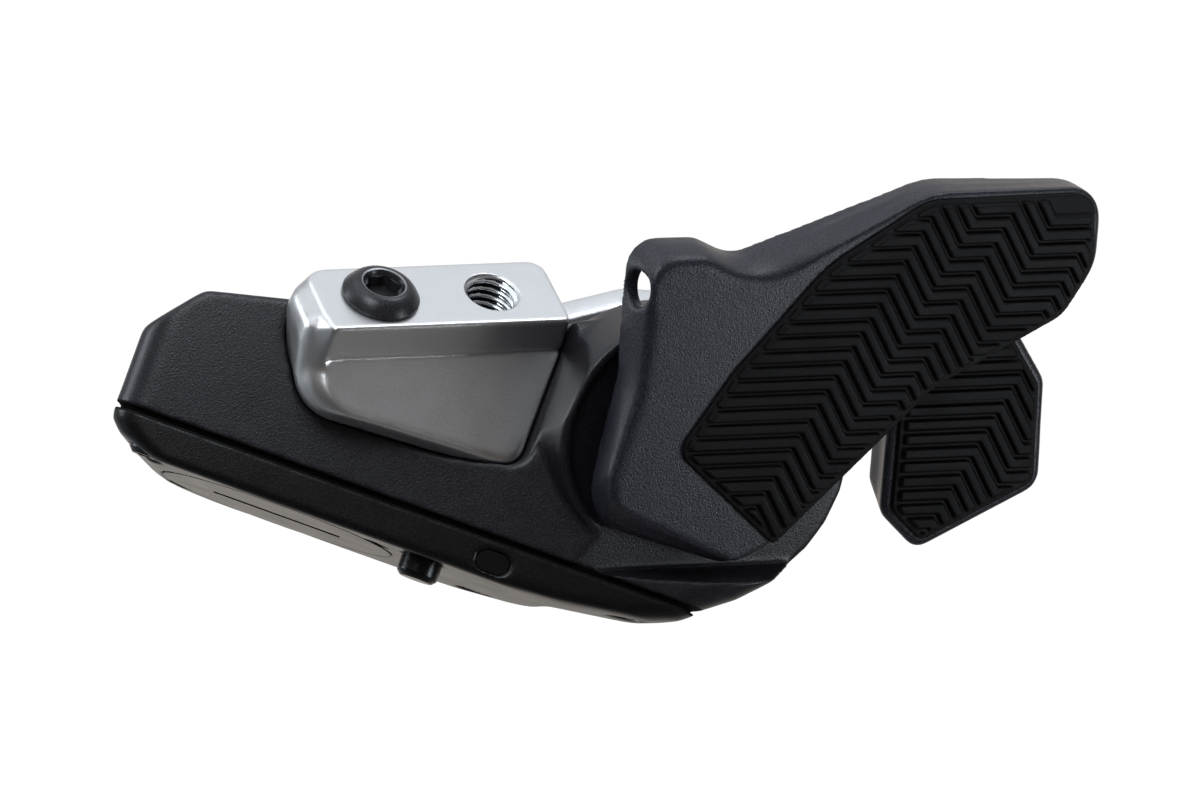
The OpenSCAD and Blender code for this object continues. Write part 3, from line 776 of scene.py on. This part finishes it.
@dataclass
class PodBody:
    """The sealed pod: two moulded halves, their seal and the small things in them.

    The pod's own frame is in millimetres, and each range below is one of its lengths.

    Attributes:
        moulding: How both halves are made.
        left_end: Range of X over which the upper half rounds off towards its left end.
        upper_rise: Heights above the seam between which the upper half's rounding sets in.
        upper_least: Share of the upper half's rounding away from its left end.
        lower_drop: Depths below the seam between which the lower half's rounding sets in.
        lower_least: Share of the lower half's rounding away from its right side.
        right_side: Range of X over which the lower half rounds off towards its right side.
        front_edge: Range of Y over which its front edge rounds off.
        front_start: Range of X over which the front edge's rounding begins.
        front_drop: Depths below the seam between which the front edge's rounding sets in.
        window_x: Middle of the LED window.
        window_clear: Distances from it between which the front edge's rounding sets in.
    """

    moulding: Moulding = Moulding(voxel_mm=0.19, rounds=5)
    left_end: Range = (-22.5, -26.0)
    upper_rise: Range = (0.5, 1.5)
    upper_least: float = 0.35
    lower_drop: Range = (0.6, 1.6)
    lower_least: float = 0.2
    right_side: Range = (10.4, 12.0)
    front_edge: Range = (1.2, 0.4)
    front_start: Range = (3.0, 5.0)
    front_drop: Range = (1.4, 2.2)
    window_x: float = 8.2
    window_clear: Range = (1.8, 2.4)

    def own(self, point: Vector) -> Vector:
        """Turn a point into the pod's own frame.

        Args:
            point: The point in metres.

        Returns:
            The point in the pod's frame in millimetres.
        """
        turn = Euler([math.radians(a) for a in POD_TILT]).to_matrix()
        return turn.transposed() @ point / MM

    def upper_share(self, point: Vector) -> float:
        """Say how much rounder the upper half is at a point than at its seam.

        Args:
            point: The point in metres.

        Returns:
            Nothing at the seam, all at the left end.
        """
        place = self.own(point)
        left = ramp(place.x, *self.left_end)
        share = self.upper_least + (1.0 - self.upper_least) * left
        return ramp(place.z - SEAM_Z, *self.upper_rise) * share

    def lower_share(self, point: Vector) -> float:
        """Say how much rounder the lower half is at a point than at its seam.

        Args:
            point: The point in metres.

        Returns:
            Nothing at the seam, all at the lower right edge.
        """
        place = self.own(point)
        deep = SEAM_Z - place.z
        edge = ramp(place.y, *self.front_edge) * ramp(place.x, *self.front_start)
        edge *= ramp(abs(place.x - self.window_x), *self.window_clear)
        right = max(ramp(place.x, *self.right_side), edge * ramp(deep, *self.front_drop))
        share = self.lower_least + (1.0 - self.lower_least) * right
        return ramp(deep, *self.lower_drop) * share

    def build(self, nodes: Nodes) -> list[bpy.types.Object]:
        """Build both halves and dress what is carried over.

        Args:
            nodes: CAD nodes by name.

        Returns:
            The new pieces.
        """
        upper = self.moulding.copy(nodes["upper_housing"], "pod_upper_half", self.upper_share)
        lower = self.moulding.copy(nodes["lower_cover"], "pod_lower_half", self.lower_share)
        made = [
            Piece(upper, Body.POD, SHELL, "shell_black", ("upper_housing",)).place(),
            Piece(lower, Body.POD, COVER, "cover_black", ("lower_cover",)).place(),
        ]
        carried = {
            "seam_gasket": SEAL,
            "cover_screws": OXIDE,
            "door_seal": SEAL,
            "battery_door": COVER,
            "coin_cell": CELL,
            "cell_clip": CONTACT,
            "cell_leaf": CONTACT,
            "circuit_board": BOARD,
            "radio_module": CAN,
            "button_switch": SWITCH,
            "status_led": LAMP_BODY,
            "led_window": WINDOW,
            "button_seal": SEAL,
            "switch_flex": FILM,
        }
        dress(nodes, carried)
        return made


@dataclass
class MountBracket:
    """The silver casting with its threaded hole, and its screws.

    All lengths are in millimetres, and heights count from the mount face.

    Attributes:
        moulding: How the casting is made.
        left_side: Range of X over which the casting rounds off towards its left side.
        left_drop: Heights between which that rounding sets in.
        leg_drop: Heights between which the leg's rounding sets in.
        crease_angle: Largest angle in degrees that looks smooth on the casting.
        thread_r: Half the thread's outer diameter.
        bore_r: Half the tapping diameter.
        thread_pitch: Distance between turns.
        thread_depth: Depth of the thread.
        countersink: How much wider than the thread the hole is at its mouth.
        countersink_h: Depth that the countersink stays above.
        around: Steps round the thread.
        per_turn: Rings for each turn of the thread.
        tooth_slope: How steeply the thread's flanks rise.
        tooth_root: How much of the flanks is cut off at their foot.
        coloured: Heights between which the thread is coloured.
        shade_depth: Depth beyond the bore from which shade is painted into the thread.
        unshaded_x: Place along X from which no shade is painted, so the thread is bright all
            through.
        slack: How far outside the thread its faces may lie.
    """

    moulding: Moulding = Moulding(voxel_mm=0.14, rounds=20, most_faces=150_000)
    left_side: Range = (-15.0, -17.0)
    left_drop: Range = (-1.0, -2.5)
    leg_drop: Range = (-4.5, -6.5)
    crease_angle: float = 50.0
    thread_r: float = 2.5
    bore_r: float = 2.12
    thread_pitch: float = 0.8
    thread_depth: float = 6.9
    countersink: float = 0.12
    countersink_h: float = -0.5
    around: int = 72
    per_turn: int = 16
    tooth_slope: float = 1.6
    tooth_root: float = 0.3
    coloured: Range = (-7.038, -0.35)
    shade_depth: float = 0.17
    unshaded_x: float = 1.7
    slack: float = 0.02

    def leg_share(self, point: Vector) -> float:
        """Say how much rounder than the block the casting is at a point.

        Args:
            point: The point in metres.

        Returns:
            Nothing at the block's top, all at the leg.
        """
        height = point.z / MM
        left = ramp(point.x / MM, *self.left_side) * ramp(height, *self.left_drop)
        return max(left, ramp(height, *self.leg_drop))

    def thread_radius(self, height: float, turn: float) -> float:
        """Say how wide the threaded hole is.

        Args:
            height: Height in the hole.
            turn: Share of a turn round it.

        Returns:
            The radius.
        """
        phase = (height / self.thread_pitch - turn) % 1.0
        flank = self.tooth_slope * (1.0 - abs(2.0 * phase - 1.0)) - self.tooth_root
        radius = self.bore_r + (self.thread_r - self.bore_r) * max(0.0, min(1.0, flank))
        if height > self.countersink_h:
            radius = max(radius, self.thread_r + self.countersink + height)
        return radius

    def thread_cutter(self) -> bpy.types.Object:
        """Make the solid whose cut leaves a threaded hole with a small countersink.

        Returns:
            The cutter.
        """
        rows = int(self.thread_depth / self.thread_pitch * self.per_turn)
        above = 4
        rings = []
        for row in range(rows + above):
            height = -self.thread_depth + row * self.thread_pitch / self.per_turn
            ring = []
            for i in range(self.around):
                turn = i / self.around
                radius = self.thread_radius(height, turn)
                angle = math.tau * turn
                ring.append((radius * math.cos(angle), radius * math.sin(angle), height))
            rings.append(ring)
        return loft("thread_cutter", rings)

    def paint_thread_shade(self, bracket: bpy.types.Object) -> None:
        """Paint shade into the thread's roots left of a given X, where the crests above shade them,
        and give the crests and the rest bright bare alloy.

        Args:
            bracket: The bracket with its thread cut.
        """
        shaded_root, crest = 1, 2
        lowest, highest = self.coloured
        shade_r, outer = self.bore_r + self.shade_depth, self.thread_r + self.slack
        bracket.data.materials.append(THREAD_ROOT_SHADE.material())
        bracket.data.materials.append(THREAD_CREST.material())
        for face in bracket.data.polygons:
            x, y, z = face.center / MM
            radius = math.hypot(x, y)
            if radius < outer and lowest < z < highest:
                face.material_index = shaded_root if radius > shade_r and x < self.unshaded_x else crest

    def build(self, nodes: Nodes) -> list[bpy.types.Object]:
        """Build the bracket with soft edges and a real thread.

        Args:
            nodes: CAD nodes by name.

        Returns:
            The new piece.
        """
        made = self.moulding.copy(nodes["clamp_bracket"], "mount_bracket", self.leg_share)
        cut_away(made, self.thread_cutter())
        shade_by_angle(made.data, self.crease_angle)
        Piece(made, Body.POD, CASTING, "cast_alloy", ("clamp_bracket",)).place()
        self.paint_thread_shade(made)
        dress(nodes, {"bracket_screws": ZINC})
        return [made]


@dataclass
class ClampBolt:
    """The black bolt with a domed head and a six-lobe recess, beside the threaded hole.

    All lengths are in millimetres, and heights count from the mount face.

    Attributes:
        place: Point of the mount face that the bolt's axis goes through.
        shank_r: Radius of the shank.
        tip_r: Radius of the shank's tip.
        tip_h: Height of the tip.
        bevel: Height of the bevel above the tip.
        gap: Clearance under the head.
        head_r: Radius of the head.
        head_h: Height of the head.
        brim_h: Height at which the dome starts.
        head_edge: Size of the bevel at the head's foot.
        brim_edge: Height of the bevel between the brim and the dome.
        dome_inset: How far inside the brim the dome starts.
        recess_r: Radius of the recess's mouth.
        rim_in: How far the rim, with its painted highlight, reaches in from the mouth.
        rim_out: How far the rim and its painted highlight reach out from the mouth.
        dish: How far in and down from the mouth each corner of the dish lies, to its ground.
        lobe_r: Outer radius of the lobes.
        lobe_depth: Share of that radius by which the lobes are cut in.
        lobes: Number of lobes.
        around: Steps round the bolt.
        dome_steps: Steps over the dome.
        crease_angle: Largest angle in degrees that looks smooth.
    """

    place: Point = (-10.9, 0.0, 0.0)
    shank_r: float = 2.04
    tip_r: float = 1.9
    tip_h: float = -6.4
    bevel: float = 0.3
    gap: float = 0.03
    head_r: float = 3.55
    head_h: float = 1.6
    brim_h: float = 0.46
    head_edge: float = 0.1
    brim_edge: float = 0.12
    dome_inset: float = 0.08
    recess_r: float = 2.03
    rim_in: float = 0.1
    rim_out: float = 0.05
    dish: tuple[tuple[float, float], ...] = ((0.1, 0.06), (0.28, 0.32), (0.34, 0.5))
    lobe_r: float = 1.7
    lobe_depth: float = 0.09
    lobes: int = 6
    around: int = 96
    dome_steps: int = 12
    crease_angle: float = 28.0

    def profile(self) -> list[tuple[float, float]]:
        """List the bolt's outline.

        Returns:
            Radius and height of each corner, from the tip round to the middle of the dish.
        """
        dome_r, rim_r = self.head_r - self.dome_inset, self.recess_r + self.rim_out
        dish = [(self.recess_r - inward, self.head_h - down) for inward, down in self.dish]
        dome = []
        for i in range(self.dome_steps + 1):
            share = i / self.dome_steps
            rise = 1.0 - (1.0 - share) ** 2
            height = self.brim_h + (self.head_h - self.brim_h) * rise
            dome.append((dome_r - (dome_r - rim_r) * share, height))
        return [
            (0.0, self.tip_h),
            (self.tip_r, self.tip_h),
            (self.shank_r, self.tip_h + self.bevel),
            (self.shank_r, self.gap),
            (self.head_r - self.head_edge, self.gap),
            (self.head_r, self.head_edge),
            (self.head_r, self.brim_h - self.brim_edge),
            *dome,
            *dish,
            (0.0, dish[-1][1]),
        ]

    def lobe_cutter(self) -> bpy.types.Object:
        """Make the lobed prism that cuts the bolt's recess.

        Returns:
            The cutter.
        """
        outline = []
        above = 1.0
        for i in range(self.around):
            angle = math.tau * i / self.around
            wave = 1.0 - self.lobe_depth + self.lobe_depth * math.cos(self.lobes * angle)
            radius = self.lobe_r * wave
            outline.append((radius * math.cos(angle), radius * math.sin(angle)))
        rings = [[(x, y, height) for x, y in outline] for height in (0.0, self.head_h + above)]
        return loft("lobe_cutter", rings, self.place)

    def paint_rim_highlight(self, bolt: bpy.types.Object) -> None:
        """Paint a highlight on the rim round the recess, as a pale ring.

        Args:
            bolt: The bolt with its recess cut.
        """
        rim_highlight = 1
        inner, outer = self.recess_r - self.rim_in, self.recess_r + self.rim_out
        bolt.data.materials.append(RIM_HIGHLIGHT.material())
        for face in bolt.data.polygons:
            x, y, z = face.center / MM
            radius = math.hypot(x - self.place[0], y)
            if inner < radius < outer and z > self.head_h - self.rim_in:
                face.material_index = rim_highlight

    def build(self, nodes: Nodes) -> list[bpy.types.Object]:
        """Turn the bolt and cut its recess.

        Args:
            nodes: CAD nodes by name, none of which is needed for its shape; not used.

        Returns:
            The new piece.
        """
        rings = [circle(radius, height, self.around) for radius, height in self.profile()]
        made = loft("clamp_bolt_black", rings, self.place)
        cut_away(made, self.lobe_cutter())
        shade_by_angle(made.data, self.crease_angle)
        Piece(made, Body.POD, OXIDE, "bolt_black", ("clamp_bolt",)).place()
        self.paint_rim_highlight(made)
        return [made]


@dataclass
class Rocker:
    """The rocking paddle with its two ribbed grips and the metal inside it.

    Attributes:
        moulding: How the paddle is made.
        grip_moulding: How the grips are made.
        base: Origin of the paddle's own frame in millimetres.
        lean: Turn of that frame about X in degrees.
        face_n: Height of the paddle's face in it.
        front_drop: Depths below that face between which the hub's front sets in.
        eye: Place along the face, and above it, of the hole in the hub's left side.
        eye_reach: Largest place along X that counts as near that hole.
        eye_clear: Distances from the hole between which the hub's rounding sets in.
        grip_corner: A point on the big grip's edge that faces the hub.
        grip_side: Direction that points away from that edge to the hub.
        grip_clear: Distances from that edge between which the hub's rounding sets in.
    """

    moulding: Moulding = Moulding(voxel_mm=0.16, rounds=28, more_rounds=120)
    grip_moulding: Moulding = Moulding(voxel_mm=0.12, rounds=3)
    base: Point = (0.0, -14.3, 1.5)
    lean: float = 65.0
    face_n: float = 3.3
    front_drop: Range = (4.0, 2.0)
    eye: tuple[float, float] = (8.5, 1.15)
    eye_reach: float = 10.5
    eye_clear: Range = (2.2, 3.6)
    grip_corner: tuple[float, float] = (11.4, -6.2)
    grip_side: tuple[float, float] = (-0.777, 0.63)
    grip_clear: Range = (1.2, 3.0)

    def hub_share(self, point: Vector) -> float:
        """Say how much rounder the hub is at a point than the pads.

        Args:
            point: The point in metres.

        Returns:
            Nothing at the pads and round the hole, all at the hub's face.
        """
        turn = Matrix.Rotation(math.radians(self.lean), 3, "X")
        place = turn.transposed() @ (point / MM - Vector(self.base))
        past_grip = (place.x - self.grip_corner[0]) * self.grip_side[0]
        past_grip += (place.y - self.grip_corner[1]) * self.grip_side[1]
        off_hole = 1.0
        if place.x < self.eye_reach:
            hole = math.hypot(place.y - self.eye[0], place.z - self.eye[1])
            off_hole = ramp(hole, *self.eye_clear)
        front = ramp(place.z, *(self.face_n - drop for drop in self.front_drop))
        return ramp(past_grip, *self.grip_clear) * front * off_hole

    def build(self, nodes: Nodes) -> list[bpy.types.Object]:
        """Build the paddle and both grips.

        Args:
            nodes: CAD nodes by name.

        Returns:
            The new pieces.
        """
        paddle = self.moulding.copy(nodes["rocker_paddle"], "thumb_paddle", self.hub_share)
        made = [Piece(paddle, Body.ROCKER, PADDLE, "paddle_black", ("rocker_paddle",)).place()]
        for node, name in (("upper_grip", "big_pad_grip"), ("lower_grip", "small_pad_grip")):
            grip = self.grip_moulding.copy(nodes[node], name)
            made.append(Piece(grip, Body.ROCKER, GRIP, "grip_rubber", (node,)).place())
        carried = {
            "rocker_carrier": TUMBLED,
            "carrier_bolt": OXIDE,
            "pivot_bushings": ACETAL,
            "pivot_pin": ZINC,
            "centring_spring": WIRE,
            "rocker_switches": SWITCH,
        }
        dress(nodes, carried)
        return made


@dataclass
class PushButton:
    """The function button in the pod's underside.

    Attributes:
        moulding: How the button is made.
    """

    moulding: Moulding = Moulding(voxel_mm=0.12, rounds=1, most_faces=20_000)

    def build(self, nodes: Nodes) -> list[bpy.types.Object]:
        """Build the button with soft edges.

        Args:
            nodes: CAD nodes by name.

        Returns:
            The new piece.
        """
        made = self.moulding.copy(nodes["function_button"], "push_button")
        return [Piece(made, Body.BUTTON, BUTTON, "button_black", ("function_button",)).place()]


@dataclass(frozen=True)
class Lamp:
    """A soft square lamp that points at the object.

    Attributes:
        name: Name of the lamp.
        place: Its place in metres.
        size: Edge length in metres.
        watts: Its power.
        aim: Point of the object that it is turned to, in metres.
        colour: Colour of its light.
    """

    name: str
    place: Point
    size: float
    watts: float
    aim: Point = (0.01, -0.004, -0.008)
    colour: Rgb = (0.88, 0.94, 1.0)

    def hang(self) -> None:
        """Put the lamp in the scene, out of the camera's sight."""
        data = bpy.data.lights.new(self.name, "AREA")
        data.shape, data.size, data.energy = "SQUARE", self.size, self.watts
        data.color = self.colour
        made = bpy.data.objects.new(self.name, data)
        bpy.context.scene.collection.objects.link(made)
        made.location = self.place
        aim = Vector(self.aim) - Vector(self.place)
        made.rotation_euler = aim.to_track_quat("-Z", "Y").to_euler()
        made.visible_camera = False


@dataclass
class Studio:
    """Floor, lamps, world and camera.

    Attributes:
        distance: Camera distance in metres.
        view_mm: Width of the picture at the origin in millimetres.
        sensor_mm: Width of the camera's sensor in millimetres.
        clip: Nearest and farthest distance that the camera sees, in metres.
        right: Direction that points right in the picture.
        up: Direction that points up in it.
        aim_mm: Picture centre to the right of and above the origin in millimetres.
        floor_z: Height of the floor in metres.
        floor_size: Half the floor's width in metres.
        floor_grey: Colour of the floor where light falls on it.
        floor_roughness: Roughness of the floor.
        floor_glow: Strength at which the camera sees the floor's own light.
        glow_share: Share of that light in what the camera and mirrors see.
        mirrored_y: Range of Y over which the mirrored floor brightens.
        mirrored_light: Its light at both ends of that range.
        faded_x: Range of X over which the mirrored floor reaches its full light.
        faded_light: Shares of its light at both ends of that range.
        left_tint: Colour of the mirrored floor at its left.
        right_tint: Colour of it at its right.
        sky_axis: Direction along which the studio brightens.
        sky_range: Distances along it over which that happens.
        dim: Colour of the studio in front of and below the object.
        bright: Colour of the studio behind and above it.
        lamps: The lamps.
    """

    distance: float = 2.4
    view_mm: float = 107.14
    sensor_mm: float = 36.0
    clip: Range = (0.01, 20.0)
    right: Point = (0.9147, -0.3323, 0.2299)
    up: Point = (0.0369, 0.6353, 0.7713)
    aim_mm: tuple[float, float] = (9.6, -9.63)
    floor_z: float = -0.075
    floor_size: float = 4.0
    floor_grey: float = 0.86
    floor_roughness: float = 0.9
    floor_glow: float = 1.06
    glow_share: float = 0.92
    mirrored_y: Range = (-0.045, 0.05)
    mirrored_light: Range = (0.09, 0.9)
    faded_x: Range = (-0.06, -0.005)
    faded_light: Range = (0.3, 1.0)
    left_tint: Rgb = (0.84, 0.92, 1.0)
    right_tint: Rgb = (1.0, 0.92, 0.85)
    sky_axis: Point = (0.12, 0.62, 0.6)
    sky_range: Range = (0.14, 0.9)
    dim: Rgb = (0.062, 0.053, 0.048)
    bright: Rgb = (0.74, 0.78, 0.84)
    lamps: tuple[Lamp, ...] = (
        Lamp("key", (-0.13, 0.12, 0.22), size=0.3, watts=0.2),
        Lamp("left", (-0.2, 0.13, 0.0), size=0.09, watts=0.12),
        Lamp("pod_sheen", (-0.058, -0.022, 0.075), size=0.04, watts=0.03),
        Lamp("edge", (0.1, 0.062, 0.215), size=0.09, watts=0.1),
        Lamp("pad_sheen", (0.108, -0.118, 0.03), size=0.05, watts=0.055),
    )

    def camera(self) -> None:
        """Set the camera at the photograph's viewing angle."""
        right = Vector(self.right).normalized()
        up = (Vector(self.up) - right * Vector(self.up).dot(right)).normalized()
        back = right.cross(up)
        data = bpy.data.cameras.new("camera")
        data.sensor_width = self.sensor_mm
        data.lens = self.sensor_mm * self.distance / (self.view_mm * MM)
        data.clip_start, data.clip_end = self.clip
        made = bpy.data.objects.new("camera", data)
        bpy.context.scene.collection.objects.link(made)
        aim = right * self.aim_mm[0] * MM + up * self.aim_mm[1] * MM
        turn = Matrix((right, up, back)).transposed().to_4x4()
        made.matrix_world = Matrix.Translation(aim + back * self.distance) @ turn
        bpy.context.scene.camera = made

    def floor(self) -> None:
        """Lay the pale floor, which looks white and keeps a soft shadow."""
        shape = bmesh.new()
        bmesh.ops.create_grid(shape, x_segments=4, y_segments=4, size=self.floor_size)
        mesh = bpy.data.meshes.new("studio_floor")
        shape.to_mesh(mesh)
        shape.free()
        made = object_from_mesh("studio_floor", mesh)
        made.location.z = self.floor_z
        mesh.materials.append(self.floor_paint())

    def floor_paint(self) -> bpy.types.Material:
        """Make the floor's paint, which can't be seen from below.

        Returns:
            The material.
        """
        paint = bpy.data.materials.new("floor_white")
        paint.use_nodes = True
        tree = paint.node_tree
        matt = tree.nodes["Principled BSDF"]
        matt.inputs["Base Color"].default_value = (*[self.floor_grey] * 3, 1.0)
        matt.inputs["Roughness"].default_value = self.floor_roughness
        ray = tree.nodes.new("ShaderNodeLightPath").outputs
        seen = calculate(tree, "MAXIMUM", ray["Is Camera Ray"], ray["Is Transmission Ray"])
        either = calculate(tree, "MAXIMUM", seen, ray["Is Glossy Ray"])
        share = calculate(tree, "MULTIPLY", either, self.glow_share)
        lit = mix_shaders(tree, share, matt.outputs["BSDF"], self.floor_light(tree, seen))
        below = tree.nodes.new("ShaderNodeNewGeometry").outputs["Backfacing"]
        clear = tree.nodes.new("ShaderNodeBsdfTransparent").outputs["BSDF"]
        both = mix_shaders(tree, below, lit, clear)
        tree.links.new(both, tree.nodes["Material Output"].inputs["Surface"])
        return paint

    def floor_light(self, tree: Tree, seen: Socket) -> Socket:
        """Let the floor glow white for the camera, and dimmer to the front for mirrors.

        Args:
            tree: Node tree of the floor's paint.
            seen: Whether the camera sees it, straight or through glass.

        Returns:
            The glow.
        """
        place = tree.nodes.new("ShaderNodeTexCoord").outputs["Object"]
        split = tree.nodes.new("ShaderNodeSeparateXYZ")
        tree.links.new(place, split.inputs[0])
        side = map_range(tree, split.outputs["X"], self.faded_x)
        mirrored = map_range(tree, split.outputs["Y"], self.mirrored_y, self.mirrored_light)
        fade = map_range(tree, side, (0.0, 1.0), self.faded_light)
        faded = calculate(tree, "MULTIPLY", mirrored, fade)
        white = calculate(tree, "MULTIPLY", seen, self.floor_glow)
        tint = colour_ramp(tree, side, self.left_tint, self.right_tint)
        glow = tree.nodes.new("ShaderNodeEmission")
        tree.links.new(calculate(tree, "MAXIMUM", white, faded), glow.inputs["Strength"])
        tree.links.new(colour_choice(tree, seen, tint, WHITE), glow.inputs["Color"])
        return glow.outputs["Emission"]

    def surroundings(self) -> None:
        """Surround the object with a plain studio that is bright behind and above it."""
        world = bpy.data.worlds.new("studio")
        world.use_nodes = True
        tree = world.node_tree
        sky = tree.nodes["Background"]
        sky.inputs["Strength"].default_value = 1.0
        place = tree.nodes.new("ShaderNodeTexCoord").outputs["Generated"]
        height = map_range(tree, project(tree, place, self.sky_axis), self.sky_range)
        tones = colour_ramp(tree, height, self.dim, self.bright)
        seen = tree.nodes.new("ShaderNodeLightPath").outputs["Is Camera Ray"]
        tree.links.new(colour_choice(tree, seen, tones, WHITE), sky.inputs["Color"])
        bpy.context.scene.world = world

    def build(self) -> None:
        """Build the studio round the object."""
        self.camera()
        self.floor()
        self.surroundings()
        for lamp in self.lamps:
            lamp.hang()
        bpy.context.scene.view_settings.view_transform = "Standard"


def main() -> None:
    """Build the part, then the studio, and report each piece."""
    logging.basicConfig(level=logging.INFO, format="%(name)s %(message)s")
    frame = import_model()
    nodes = frame["nodes"]
    for part in (PodBody(), MountBracket(), ClampBolt(), Rocker(), PushButton()):
        made = part.build(nodes)
        LOG.info("%s made", ", ".join(obj.name for obj in made))
    Studio().build()


if __name__ == "__main__":
    main()
